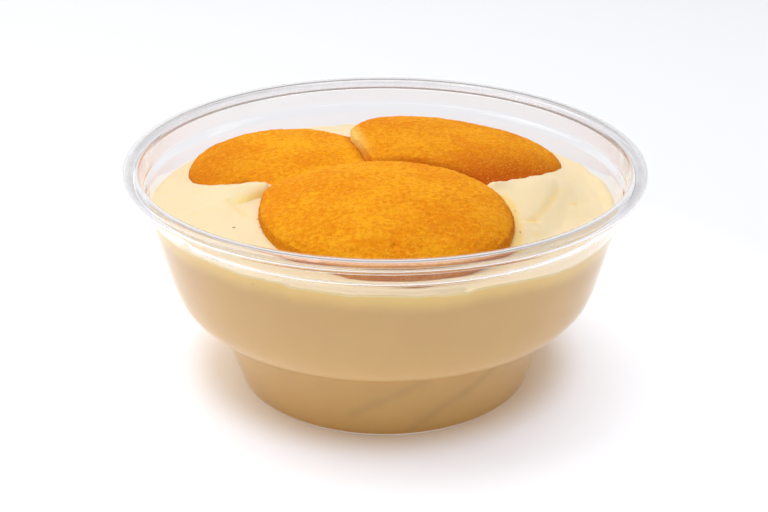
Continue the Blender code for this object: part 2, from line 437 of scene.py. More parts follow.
def food_grain():
    """A shader group for crumb and cream: soft patches, fine grain and a height for bumps."""
    name = "Food grain"
    if name in bpy.data.node_groups:
        return bpy.data.node_groups[name]
    inputs = {"Vector": "Vector", "Patch Size": "Float", "Grain Size": "Float", "Contrast": "Float"}
    outputs = {"Patches": "Float", "Grain": "Float", "Height": "Float"}
    tree, given, made = new_tree(name, "ShaderNodeTree", inputs, outputs)
    layers = (("Patch Size", 3.0, ("Patches",)), ("Grain Size", 2.0, ("Grain", "Height")))
    for size, detail, results in layers:
        scale = calculate(tree, "DIVIDE", 1.0, given[size])
        values = {"Vector": given["Vector"], "Scale": scale, "Detail": detail, "Roughness": 0.55}
        texture = add_node(tree, "ShaderNodeTexNoise", values)
        centred = calculate(tree, "SUBTRACT", texture.outputs["Fac"], 0.5)
        raised = calculate(tree, "MULTIPLY", centred, given["Contrast"])
        result = calculate(tree, "ADD", raised, 0.5)
        for output in results:
            feed(tree, made[output], result)
    return tree


def place_grain(tree, patch_size, grain_size, contrast):
    """The grain group in a material, on Object coordinates."""
    place = add_node(tree, "ShaderNodeTexCoord").outputs["Object"]
    values = {"Vector": place, "Patch Size": patch_size, "Grain Size": grain_size, "Contrast": contrast}
    return place, add_node(tree, "ShaderNodeGroup", values, node_tree=food_grain())


def fine_specks():
    """A shader group for sparse specks: 1 in the middle of each and fading to 0 at its edge."""
    name = "Fine specks"
    if name in bpy.data.node_groups:
        return bpy.data.node_groups[name]
    inputs = {"Vector": "Vector", "Cell Size": "Float", "Share": "Float", "Speck Size": "Float"}
    tree, given, made = new_tree(name, "ShaderNodeTree", inputs, {"Specks": "Float"})
    scale = calculate(tree, "DIVIDE", 1.0, given["Cell Size"])
    cells = add_node(tree, "ShaderNodeTexVoronoi", {"Vector": given["Vector"], "Scale": scale}).outputs
    draw = add_node(tree, "ShaderNodeSeparateColor", {0: cells["Color"]})
    chosen = calculate(tree, "LESS_THAN", draw.outputs[0], given["Share"])
    away = calculate(tree, "DIVIDE", cells["Distance"], given["Speck Size"])
    inside = calculate(tree, "MAXIMUM", calculate(tree, "SUBTRACT", 1.0, away), 0.0)
    feed(tree, made["Specks"], calculate(tree, "MULTIPLY", inside, chosen))
    return tree


def place_specks(tree, place, cell_size, share_of_cells, speck_size):
    """The speck group in a material. The speck's size is a share of its cell's."""
    values = {"Vector": place, "Cell Size": cell_size, "Share": share_of_cells, "Speck Size": speck_size}
    return add_node(tree, "ShaderNodeGroup", values, node_tree=fine_specks()).outputs["Specks"]


def add_bump(tree, shader, height, distance, strength=1.0):
    values = {"Height": height, "Strength": strength, "Distance": distance}
    feed(tree, shader.inputs["Normal"], add_node(tree, "ShaderNodeBump", values).outputs["Normal"])


# The cup


def rounded(corners):
    """Points of an outline whose corners, given as (x, y, rounding), are rounded with arcs."""
    points = []
    for i, (x, y, rounding) in enumerate(corners):
        here = Vector((x, y))
        if not rounding or i in (0, len(corners) - 1):
            points.append(here)
            continue
        back = (Vector(corners[i - 1][:2]) - here).normalized()
        ahead = (Vector(corners[i + 1][:2]) - here).normalized()
        half = back.angle(ahead) / 2
        start = here + back * rounding / math.tan(half)
        middle = here + (back + ahead).normalized() * rounding / math.sin(half)
        sweep = Vector(start - middle).angle_signed(here + ahead * rounding / math.tan(half) - middle)
        for step in range(CORNER_STEPS + 1):
            arm = (start - middle).copy()
            arm.rotate(Matrix.Rotation(-sweep * step / CORNER_STEPS, 2))
            points.append(middle + arm)
    return points


def through(points):
    """A smooth curve through points, with a few steps from each to the next."""
    ends = [points[0] * 2 - points[1], *points, points[-1] * 2 - points[-2]]
    curve = []
    for before, start, end, after in zip(ends, ends[1:], ends[2:], ends[3:]):
        for step in range(BOWL_STEPS):
            t = step / BOWL_STEPS
            bend = 2 * before - 5 * start + 4 * end - after
            twist = 3 * start - before - 3 * end + after
            curve.append(start + ((end - before) * t + bend * t**2 + twist * t**3) / 2)
    return [*curve, points[-1]]


def offset_inwards(corners, distance):
    """The corners moved into the cup, so that the sides between them move by a distance."""
    moved = []
    for i, (x, y, rounding) in enumerate(corners):
        here = Vector((x, y))
        after = Vector(corners[min(i + 1, len(corners) - 1)][:2])
        before = Vector(corners[max(i - 1, 0)][:2])
        sides = [side.normalized() for side in (here - before, after - here) if side.length]
        inward = sum((Vector((-side.y, side.x)) for side in sides), Vector((0.0, 0.0))).normalized()
        lean = inward.dot(Vector((-sides[0].y, sides[0].x)))
        spot = here + inward * distance / lean
        turn = sides[0].cross(sides[-1])
        bend = max(rounding - math.copysign(distance, turn), SMALLEST_BEND) if rounding else 0.0
        moved.append((spot.x, spot.y, bend))
    return moved


def wall_outline(look, inset=0.0):
    """The wall's outer side, or a side further in, as (radius, height) from the floor's middle."""
    bowl = through([Vector(FOOT[-1][:2]), *(Vector(spot) for spot in BOWL)])
    neck = (NECK_RADIUS, look.height - look.bead_height, 0.0)
    ledge = (*LEDGE[:2], LEDGE_INSIDE) if inset else LEDGE
    corners = [*FOOT, *((spot.x, spot.y, 0.0) for spot in bowl[1:]), ledge, neck]
    if inset:
        corners = offset_inwards([(0.0, 0.0, 0.0), *corners], inset)[1:]
    floor = (0.0, corners[0][1], 0.0)
    return rounded([floor, *corners])


def bead_outline(look):
    """The wall rolled outwards into a hollow rim: its inner face, its end and its outer face."""
    middle = Vector((look.rim_radius - look.bead_width / 2, look.height - look.bead_height / 2))
    outer = Vector((look.bead_width / 2, look.bead_height / 2))
    inner = outer - Vector((look.curl_wall, look.curl_wall))

    def side(size, start, end, steps):
        turns = (start + (end - start) * step / steps for step in range(steps + 1))
        return [middle + Vector((size.x * math.cos(t), size.y * math.sin(t))) for t in turns]

    inside = side(inner, BEAD_INSIDE, BEAD_END, BEAD_STEPS)
    outside = side(outer, BEAD_END, BEAD_INSIDE, BEAD_STEPS)
    end_middle = (inside[-1] + outside[0]) / 2
    arm = inside[-1] - end_middle
    end = []
    for step in range(1, CORNER_STEPS):
        turned = arm.copy()
        turned.rotate(Matrix.Rotation(math.pi * step / CORNER_STEPS, 2))
        end.append(end_middle + turned)
    return [*inside, *end, *outside]


def turned_shell():
    """Geometry nodes that turn an outline of (radius, 0, height) points round the Z axis."""
    sizes = {"Segments": "Int", "Waviness": "Float", "Wave Size": "Float", "Seam": "Float"}
    inputs = {"Outline": "Geometry", **sizes, "Material": "Material"}
    tree, given, made = new_tree("Turned shell", "GeometryNodeTree", inputs, {"Geometry": "Geometry"})
    outline = given["Outline"]
    segments = given["Segments"]
    rows = add_node(tree, "GeometryNodeAttributeDomainSize", {"Geometry": outline}).outputs["Point Count"]
    columns = calculate(tree, "ADD", segments, 1)
    grid = add_node(tree, "GeometryNodeMeshGrid", {"Vertices X": columns, "Vertices Y": rows})
    index = add_node(tree, "GeometryNodeInputIndex").outputs[0]
    row = calculate(tree, "MODULO", index, rows)
    column = calculate(tree, "FLOOR", calculate(tree, "DIVIDE", calculate(tree, "ADD", index, 0.5), rows))
    position = add_node(tree, "GeometryNodeInputPosition").outputs[0]
    sampled = {"Geometry": outline, "Value": position, "Index": row}
    spot = add_node(tree, "GeometryNodeSampleIndex", sampled, data_type="FLOAT_VECTOR", domain="POINT")
    apart = add_node(tree, "ShaderNodeSeparateXYZ", {0: spot.outputs["Value"]}).outputs
    whole_turn = calculate(tree, "DIVIDE", math.tau, segments)
    turn = calculate(tree, "MULTIPLY", calculate(tree, "MODULO", column, segments), whole_turn)
    x = calculate(tree, "MULTIPLY", calculate(tree, "COSINE", turn), apart["X"])
    y = calculate(tree, "MULTIPLY", calculate(tree, "SINE", turn), apart["X"])
    round_spot = add_node(tree, "ShaderNodeCombineXYZ", {"X": x, "Y": y, "Z": apart["Z"]}).outputs[0]
    scale = calculate(tree, "DIVIDE", 1.0, given["Wave Size"])
    values = {"Vector": round_spot, "Scale": scale, "Detail": 1.0, "Roughness": 0.4}
    waves = add_node(tree, "ShaderNodeTexNoise", values)
    inwards = calculate(tree, "MULTIPLY", waves.outputs["Fac"], given["Waviness"])
    narrower = calculate(tree, "SUBTRACT", 1.0, calculate(tree, "DIVIDE", inwards, CUP_TOP.x))
    scaled = add_node(tree, "ShaderNodeCombineXYZ", {"X": narrower, "Y": narrower, "Z": 1.0}).outputs[0]
    place = add_node(tree, "ShaderNodeVectorMath", {0: round_spot, 1: scaled}, operation="MULTIPLY")
    placing = {"Geometry": grid.outputs["Mesh"], "Position": place.outputs[0]}
    moved = add_node(tree, "GeometryNodeSetPosition", placing)
    merging = {"Geometry": moved.outputs[0], "Distance": given["Seam"]}
    joined = add_node(tree, "GeometryNodeMergeByDistance", merging)
    smooth = add_node(tree, "GeometryNodeSetShadeSmooth", {"Geometry": joined.outputs[0]})
    finish_tree(tree, smooth.outputs[0], given["Material"], made["Geometry"])
    return tree


def run_nodes(thing, tree, values):
    """Puts a node tree on an object, sets its named inputs and makes the result a plain mesh."""
    modifier = thing.modifiers.new(tree.name, "NODES")
    modifier.node_group = tree
    for item in tree.interface.items_tree:
        if item.item_type == "SOCKET" and item.in_out == "INPUT" and item.name in values:
            modifier[item.identifier] = values[item.name]
    return make_plain(thing)


def cup_material(look):
    """Clear plastic. What it holds is lit as if the thin wall weren't there.

    Light that has been thrown about inside the wall many times leaves it straight on.
    """
    material, tree, shader = new_material("Clear plastic")
    values = {
        "Base Color": (*look.tint, 1.0),
        "Roughness": look.roughness,
        "IOR": look.ior,
        "Transmission Weight": 1.0,
    }
    set_inputs(tree, shader, values)
    place = add_node(tree, "ShaderNodeTexCoord").outputs["Object"]
    waves = add_node(tree, "ShaderNodeTexNoise", {"Vector": place, "Scale": WALL_WAVES, "Detail": 1.0})
    add_bump(tree, shader, waves.outputs["Fac"], WALL_WAVE_HEIGHT)
    clear = add_node(tree, "ShaderNodeBsdfTransparent")
    path = add_node(tree, "ShaderNodeLightPath").outputs
    lighting = calculate(tree, "MAXIMUM", path["Is Shadow Ray"], path["Is Diffuse Ray"])
    trapped = calculate(tree, "GREATER_THAN", path["Ray Depth"], MOST_TURNS_IN_WALL)
    straight_on = calculate(tree, "MAXIMUM", lighting, trapped)
    mix = add_node(tree, "ShaderNodeMixShader", {0: straight_on, 1: shader.outputs[0], 2: clear.outputs[0]})
    feed(tree, tree.nodes["Material Output"].inputs["Surface"], mix.outputs[0])
    return material


def break_ledge(mesh, look):
    """Presses the short breaks into the ledge."""
    points = array_of(mesh.vertices, "co")
    radius = np.hypot(points[:, 0], points[:, 1])
    direction = np.arctan2(points[:, 1], points[:, 0])
    level = np.exp(-(((points[:, 2] - LEDGE[1]) / BREAK_HEIGHT) ** 2))
    outside = radius > NECK_RADIUS - BREAK_REACH
    for towards, width, depth in LEDGE_BREAKS:
        along = (direction - towards) * LEDGE[0]
        press = depth * np.exp(-((along / width) ** 4)) * level * outside
        factor = 1 - press / np.maximum(radius, look.wall)
        points[:, :2] *= factor[:, None]
    set_points(mesh, points)


def make_cup():
    look = settings("cup")
    outline = [*wall_outline(look), *bead_outline(look), *reversed(wall_outline(look, look.wall))]
    mesh = bpy.data.meshes.new("clear_cup")
    mesh.from_pydata([(spot.x, 0.0, spot.y) for spot in outline], [], [])
    cup = new_object("clear_cup", mesh)
    material = cup_material(look)
    values = {
        "Segments": look.segments,
        "Waviness": look.waviness,
        "Wave Size": look.wave_size,
        "Seam": SEAM,
        "Material": material,
    }
    break_ledge(run_nodes(cup, turned_shell(), values), look)
    finish_piece(cup, material, "clear_cup", "cup")


# The pudding

# Lines over the pudding's top, as places in millimetres
BANK_CREASE = ((32.9, 6.8), (31.9, 0.2), (31.1, -3.0), (29.5, -7.2), (27.2, -11.8), (26.3, -13.8))
BANK_PIT = ((25.1, -15.3), (26.4, -14.2))
FOLD_SWIRL = ((-27.2, -11.4), (-26.6, -12.7), (-25.2, -14.7), (-23.9, -17.0))
FRONT_HALO = ((21.0, -7.5), (22.3, -9.9), (22.5, -13.9), (22.7, -17.6), (22.7, -21.1), (22.0, -24.5))

# Strokes on the pudding's top: points along each, half width and height, in millimetres
STROKES = {
    "swirl beside the fold": (FOLD_SWIRL, 0.5, -0.12),
    "crease of the bank": (BANK_CREASE, 0.8, -0.15),
    "pit at the crease's end": (BANK_PIT, 0.8, -0.25),
    "ridge below the pit": (((23.9, -16.8), (26.1, -15.8)), 0.7, 0.24),
    "lump at the front": (((24.8, -18.2), (26.4, -17.8)), 0.9, 0.16),
    "corner between the wafers": (((17.5, -4.8), (20.6, -2.8)), 1.6, 1.00),
    "tip of the corner": (((17.8, -4.2), (18.8, -3.6)), 1.3, 0.85),
    "rise along the right wafer": (((22.0, -1.0), (23.3, 0.4)), 1.2, 0.35),
    "dip along the right wafer": (((26.2, 3.6), (29.4, 6.8)), 1.8, -0.48),
    "dip behind the fold's end": (((-21.3, -4.1), (-20.0, -4.3)), 0.8, -0.80),
    "rise at the right wall": (((42.6, -4.0), (42.8, 2.0), (41.8, 8.0)), 2.2, 0.55),
    "dip at the front wall": (((-15.0, -40.9), (-5.0, -43.3), (5.0, -43.3), (13.0, -41.6)), 1.1, -0.85),
    "lumps on the left": (((-31.8, -11.4), (-31.0, -11.5)), 0.6, 0.14),
    "lump at the left wall": (((-34.9, -12.6), (-34.2, -12.6)), 0.8, 0.16),
}

# Yellow marks on the top: points along each, half width in millimetres, and strength. The bits are
# the pudding's own yellow; those along the crease, in the pit, along the swirl and by the lump are
# painted shade
STREAKS = {
    "beside the front wafer": (FRONT_HALO, 1.0, 0.80),
    "yellow beside the front wafer": (((22.1, -9.5), (22.6, -11.2)), 0.6, 0.95),
    "pit at the crease's end": (BANK_PIT, 0.7, 0.75),
    "crease of the bank": (BANK_CREASE[1:], 0.7, 0.38),
    "yellow in the crease": (((30.9, -4.0), (30.3, -5.2)), 0.5, 0.70),
    "bit on the right": (((33.8, -4.1), (34.9, -3.4)), 0.28, 0.95),
    "bit at the right": (((32.4, -9.7), (32.6, -9.6)), 0.30, 0.40),
    "bit by the right wall": (((39.6, 0.5), (39.8, 0.7)), 0.40, 0.35),
    "bit at the right wall": (((40.5, -0.5), (40.9, -0.3)), 0.35, 0.30),
    "bit at the back": (((40.3, 11.6), (40.8, 12.0)), 0.45, 0.40),
    "patch at the front": (((25.7, -19.5), (26.3, -19.3)), 0.60, 0.30),
    "swirl beside the fold": (FOLD_SWIRL, 0.7, 0.30),
    "start of the swirl": (((-27.6, -11.0), (-27.0, -11.8)), 0.8, 0.40),
    "bit below the left wafer": (((-34.3, -2.1), (-33.9, -2.1)), 0.40, 0.35),
    "bit at the left wall": (((-41.2, -0.5), (-40.8, -0.3)), 0.50, 0.35),
    "bit on the left": (((-30.0, -13.0), (-29.8, -13.0)), 0.35, 0.30),
    "shade by the lump": (((-34.0, -12.9), (-33.4, -12.7)), 0.70, 0.30),
}

# The fold laps over the left wafer: its foot line and its back line over the same stretch of X,
# the heights of its front and its crest, the stretches over which it starts, narrows, ends and
# takes its painted shade in yellow, and the shares of its breadth that its face takes on the left
# and on the right
FOLD_FOOT = ((-28.4, -13.4), (-25.3, -12.6), (-24.3, -11.8), (-23.5, -10.6), (-22.2, -9.0), (-19.6, -6.2))
FOLD_BACK = ((-28.4, -7.6), (-25.2, -5.9), (-24.2, -4.5), (-23.35, -3.8), (-22.0, -3.5), (-19.6, -4.0))
FOLD_HEIGHTS = (38.9, 39.35)
FOLD_STARTS = (-28.2, -22.6)
FOLD_NARROWS = (-26.0, -22.2)
FOLD_ENDS = (-20.5, -21.4)
FOLD_YELLOWS = (-28.0, -25.0)
FOLD_FACES = (0.62, 0.50)

# The share of the fold's breadth where its crest starts, its steps, and in millimetres how far its
# edge sinks, how thick it is, how high its lumps are, and their size with their seed
FOLD_CREST = 0.68
FOLD_STEPS = 72
FOLD_SINK = 0.05
FOLD_THICKNESS = 0.5
FOLD_UNEVEN = 0.07
FOLD_LUMPS = (1.6, 8.0)

# The painted shade, in yellow, on the fold's face: its strength, and the share of the face over which it
# fades
FOLD_SHADE = 0.95
FOLD_SHADE_FADES = 0.6

# Darker swirls in the foot, as ends of (direction in degrees, height in mm), half width and strength
SWIRLS = (
    ((-113.0, 14.2), (-136.0, 13.6), 0.7, 0.25),
    ((-77.0, 13.6), (-101.0, 5.6), 0.9, 0.32),
    ((-48.0, 14.6), (-80.0, 1.5), 1.1, 0.36),
)

# The radius at which the swirls are drawn and how far they wander, both in millimetres, and the
# size and seed of the wandering
SWIRL_RADIUS = 30.0
SWIRL_WANDER = 0.7
SWIRL_NOISE = (0.006, 3.0)

# Yellow streaks in the top beside the wall: the share of its radius that they take, their strength,
# and the size, the seed and the contrast of the noise that they come from
WALL_STREAKS = 0.06
WALL_STREAK_STRENGTH = 0.6
WALL_STREAK_NOISE = (0.0030, 11.0)
WALL_STREAK_CONTRAST = 1.6

# How far from the front wall's side, in millimetres, the painted light of the pale brim takes to come in
BRIM_FADES = 22.0

# The pudding's material: the size of its patches and of its grains with their contrast, the height
# and the strength of its bumps, and how much light goes into it and how far each colour goes
PUDDING_GRAIN = (0.006, 0.0012, 1.0)
PUDDING_BUMPS = (0.00006, 0.6)
SOFT_WEIGHT = 0.25
SOFT_RADIUS = (1.0, 0.55, 0.25)
SOFT_SCALE = 0.0015

# Depths below the line at the wall, in millimetres, over which the top's colour, the pale line and
# the yellow band of painted light give way to the next, and how ragged that band is
TOP_ENDS = (0.0, 0.15)
LIP_ENDS = (0.25, 0.65)
BAND_ENDS = (0.4, 4.2)
BAND_RAGGED = 1.6

# Half the height over which the foot's colour sets in, how dark its swirls are, and the yellow
# mottling of the patches, from nothing to full
FOOT_BLEND = 0.001
SWIRL_DARKENS = 0.62
MOTTLES = (0.25, 0.75, 0.0, 0.10)

# Fine specks in the side: the size of their cells, the share of cells that have one, their size as
# a share of the cell's, their tone as shares of the foot's, and the depths over which they come in
SIDE_SPECKS = (0.0030, 0.9, 0.11)
SPECK_TONE = (0.80, 0.66, 0.50)
SPECKS_START = (0.5, 1.5, 0.0, 0.55)


def near_stroke(x, y, points, half_width):
    """1 on a line through points and fading to nothing beside it."""
    closest = np.full(x.shape, np.inf)
    for (x1, y1), (x2, y2) in zip(points, points[1:]):
        run = np.array([x2 - x1, y2 - y1])
        along = np.clip(((x - x1) * run[0] + (y - y1) * run[1]) / (run @ run), 0, 1)
        closest = np.minimum(closest, np.hypot(x - x1 - along * run[0], y - y1 - along * run[1]))
    return np.exp(-((closest / half_width) ** 2))


def top_levels(x, y):
    """Height of the solid pudding's free top at each point, filled smoothly under the wafers."""
    pudding = search_tree("pudding")
    wafers = [search_tree(name) for name in WAFERS]
    height = np.zeros(x.shape)
    known = np.zeros(x.shape, bool)
    for place in np.ndindex(x.shape):
        hit = seen_from_above(pudding, x[place], y[place])
        if hit is None:
            continue
        near = min(wafer.find_nearest(hit)[3] for wafer in wafers)
        known[place] = near > WAFER_NEAR
        height[place] = hit.z
    height[~known] = height[known].mean()
    for _ in range(FILL_ROUNDS):
        height = np.where(known, height, ring_average(height))
    for _ in range(SOFTEN_ROUNDS):
        height = (ring_average(height) + height) / 2
    return height


def ring_average(height):
    """The mean of each point's four neighbours, on rings from the wall to the middle."""
    middle = np.full((1, height.shape[1]), height[-1].mean())
    padded = np.vstack([height[:1], height, middle])
    beside = np.roll(height, 1, axis=1) + np.roll(height, -1, axis=1)
    return (padded[:-2] + padded[2:] + beside) / 4


def tuck_under_wafers(x, y, height):
    """The height lowered under each wafer, except where the pudding laps over the wafer's edge."""
    lowered = height.copy()
    for name in WAFERS:
        low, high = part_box(name)
        middle = (low + high) / 2
        narrower = 1 - WAFER_TUCK / ((high.x - low.x) / 2)
        shrink = Matrix.Diagonal((narrower, narrower, 1.0, 1.0))
        tree = search_tree(name, Matrix.Translation(middle) @ shrink @ Matrix.Translation(-middle))
        for place in np.ndindex(x.shape):
            below = tree.ray_cast(Vector((x[place], y[place], 0.0)), Vector((0, 0, 1)))[0]
            if below is None:
                continue
            above = seen_from_above(tree, x[place], y[place])
            if height[place] < above.z - WAFER_SINK:
                lowered[place] = min(lowered[place], below.z + WAFER_SINK)
    return lowered


def rings_of(radii, heights, turns):
    """Points of rings round the Z axis. Radii and heights are one for each ring or each point."""
    shape = np.broadcast_shapes(radii.shape, heights.shape, turns.shape)
    flat = (radii * np.cos(turns), radii * np.sin(turns), heights)
    return np.stack([np.broadcast_to(part, shape) for part in flat], axis=-1)


def noise_over(rings, size, seed=0.0):
    """Noise over rings of points, read from their places in plan."""
    flat = rings.reshape(-1, 3) * (1.0, 1.0, 0.0)
    return noise_at(flat, size, seed).reshape(rings.shape[:2])


def strongest_stroke(x, y, strokes):
    """The highest strength among strokes, each given as points, half width and strength."""
    strongest = np.zeros(x.shape)
    for points, half_width, strength in strokes:
        strongest = np.maximum(strongest, strength * near_stroke(x, y, points, half_width))
    return strongest


def pudding_top(look, wall_radius, turns):
    """Rings of the pudding's top from the wall inwards, before they are fitted to the wall."""
    outer = np.linspace(1.0, FINE_REACH, TOP_ROWS, endpoint=False)
    shares = np.append(outer, np.linspace(FINE_REACH, INNER_END, INNER_ROWS))[:, None]
    flat = rings_of(shares * wall_radius, np.zeros(1), turns)
    solid_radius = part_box("pudding")[1].x - SOLID_EDGE
    inside = rings_of(np.minimum(shares * wall_radius, solid_radius), np.zeros(1), turns)
    height = top_levels(inside[..., 0], inside[..., 1])
    for strength, size, seed in RIPPLES:
        height += look.ripple * strength * noise_over(flat, size, seed)
    near_wall = np.clip((shares - 1 + EDGE_SHARE) / EDGE_SHARE, 0, 1)
    uneven = sum(strength * noise_over(flat, size, seed) for strength, size, seed in LAPS)
    height += look.lap * uneven * near_wall**LAP_FADES
    for points, half_width, rise in STROKES.values():
        height += rise * MM * near_stroke(flat[..., 0] / MM, flat[..., 1] / MM, points, half_width)
    flat[..., 2] = height
    return flat, near_wall


def pudding_side(outline, edge_level, turns):
    """Rings of the pudding's side from its floor up to the line where its top starts."""
    radii, levels = outline
    low = slice(1, np.searchsorted(levels[1:], SIDE_TOP) + 1)
    run = np.concatenate([[0], np.cumsum(np.hypot(np.diff(radii), np.diff(levels)))])
    even = np.linspace(run[low][0], run[low][-1], SIDE_ROWS)
    rows = np.unique(np.append(even, run[1 : 2 * CORNER_STEPS + 2]))
    side = rings_of(np.interp(rows, run, radii)[:, None], np.interp(rows, run, levels)[:, None], turns)
    climb = np.linspace(0, 1, EDGE_ROWS + 2)[1:-1, None] ** EDGE_CROWD
    start = side[-1, 0, 2]
    heights = start + climb * (edge_level - start)
    edge = rings_of(np.interp(heights, levels[2:], radii[2:]), heights, turns)
    return np.vstack([side, edge])


def make_pudding():
    look = settings("pudding")
    cup_look = settings("cup")
    outline = np.array([tuple(spot) for spot in wall_outline(cup_look, cup_look.wall - look.overlap)]).T
    radii, levels = outline
    turns = np.arange(PUDDING_TURNS) * math.tau / PUDDING_TURNS
    wall_radius = np.interp(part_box("pudding")[1].z, levels[2:], radii[2:])
    top, near_wall = pudding_top(look, wall_radius, turns)
    edge_level = top[0, :, 2].copy()
    top[..., 2] = tuck_under_wafers(top[..., 0], top[..., 1], top[..., 2])
    edge_scale = np.interp(edge_level, levels[2:], radii[2:]) / wall_radius
    top[..., :2] *= (1 + (edge_scale - 1) * near_wall)[..., None]
    side = pudding_side(outline, edge_level, turns)
    rings = np.vstack([side, top])
    pudding = closed_skin("pudding_fill", rings, (0, 0, levels[0]), (0, 0, top[-1, :, 2].mean()))

    x, y, z = (rings[..., axis] / MM for axis in range(3))
    on_side = np.arange(len(rings))[:, None] < len(side)
    depth = np.maximum(edge_level / MM - z, 0) * on_side
    # Yellow marks on the top: partly the pudding's own yellow bits, partly painted shade in its creases
    wet = strongest_stroke(x, y, STREAKS.values()) * ~on_side
    at_wall = np.clip(1 - (1 - np.hypot(x, y) * MM / wall_radius) / WALL_STREAKS, 0, 1) * ~on_side
    streaked = np.clip(noise_over(rings, *WALL_STREAK_NOISE) * WALL_STREAK_CONTRAST, 0, 1)
    wet = np.maximum(wet, streaked * WALL_STREAK_STRENGTH * at_wall)
    # Painted light on the top beside the front wall, strongest at the front
    brim = at_wall * np.clip(-y / BRIM_FADES, 0, 1)
    around = np.arctan2(y, x) * SWIRL_RADIUS
    wander = SWIRL_WANDER * noise_over(rings, *SWIRL_NOISE)
    strokes = []
    for (turn_a, low_a), (turn_b, low_b), half_width, strength in SWIRLS:
        ends = ((math.radians(turn_a) * SWIRL_RADIUS, low_a), (math.radians(turn_b) * SWIRL_RADIUS, low_b))
        strokes.append((ends, half_width, strength))
    swirl = strongest_stroke(around, z + wander, strokes) * (z < FOOT[-1][1] / MM)
    for name, values in (("wall_depth", depth), ("wet", wet), ("swirl", swirl), ("brim", brim)):
        add_attribute(pudding.data, name, np.append(values.ravel(), [0, 0]))
    finish_piece(pudding, pudding_material(look), "pudding", "pudding")


def smooth_step(values, start, end):
    """0 at start and beyond it, 1 at end, and smooth between them."""
    share_of_way = np.clip((values - start) / (end - start), 0, 1)
    return share_of_way**2 * (3 - 2 * share_of_way)


def softened(grid):
    """A grid of heights smoothed a few times with its neighbours."""
    for _ in range(SOFTEN_ROUNDS):
        padded = np.pad(grid, 1, mode="edge")
        grid = (padded[:-2, 1:-1] + padded[2:, 1:-1] + padded[1:-1, :-2] + padded[1:-1, 2:]) / 4
    return grid


def make_fold():
    """The soft tongue of pudding that laps over the left wafer's edge."""
    look = settings("pudding")
    foot_x, foot_y = np.array(FOLD_FOOT).T
    back_x, back_y = np.array(FOLD_BACK).T
    x = np.linspace(foot_x[0], foot_x[-1], FOLD_STEPS)[:, None]
    across = np.linspace(0, 1, FOLD_STEPS)[None, :]
    start = np.interp(x, foot_x, foot_y)
    y = start + (np.interp(x, back_x, back_y) - start) * across
    x = np.broadcast_to(x, y.shape)
    trees = [surface_tree(bpy.data.objects[name]) for name in ("pudding_fill", "wafer_left_baked")]
    base = np.zeros(y.shape)
    for place in np.ndindex(y.shape):
        hits = [seen_from_above(tree, x[place] * MM, y[place] * MM) for tree in trees]
        base[place] = max(hit.z for hit in hits if hit is not None) / MM
    base = softened(base)
    front, crest = FOLD_HEIGHTS
    face = FOLD_FACES[0] + (FOLD_FACES[1] - FOLD_FACES[0]) * smooth_step(x, *FOLD_NARROWS)
    full = front + (crest - front) * smooth_step(across, 0.0, FOLD_CREST)
    spots = np.stack([x, y, base], axis=-1).reshape(-1, 3)
    full = full + FOLD_UNEVEN * noise_at(spots, *FOLD_LUMPS).reshape(y.shape)
    climbed = np.clip(across / face, 0, 1)
    rises = np.sin(climbed * math.pi / 2) * smooth_step(across, 1.0, FOLD_CREST)
    rises = rises * smooth_step(x, *FOLD_STARTS) * smooth_step(x, *FOLD_ENDS)
    low = base - FOLD_SINK
    heights = softened(low + np.maximum(full - low, 0) * rises)
    heights = np.where(rises > 0, heights, np.minimum(heights, low))
    top = np.stack([x, y, heights], axis=-1) * MM
    bottom = np.stack([x, y, base - FOLD_THICKNESS], axis=-1) * MM
    fold = closed_slab("pudding_fold", top, bottom)
    # Painted shade on the fold's face, drawn in the yellow tone
    shaded = FOLD_SHADE * np.exp(-((climbed / FOLD_SHADE_FADES) ** 2)) * smooth_step(x, *FOLD_YELLOWS)
    for name, values in (("wall_depth", 0), ("wet", shaded), ("swirl", 0), ("brim", 0)):
        add_attribute(fold.data, name, np.tile(np.broadcast_to(values, y.shape).ravel(), 2))
    finish_piece(fold, pudding_material(look), "pudding")


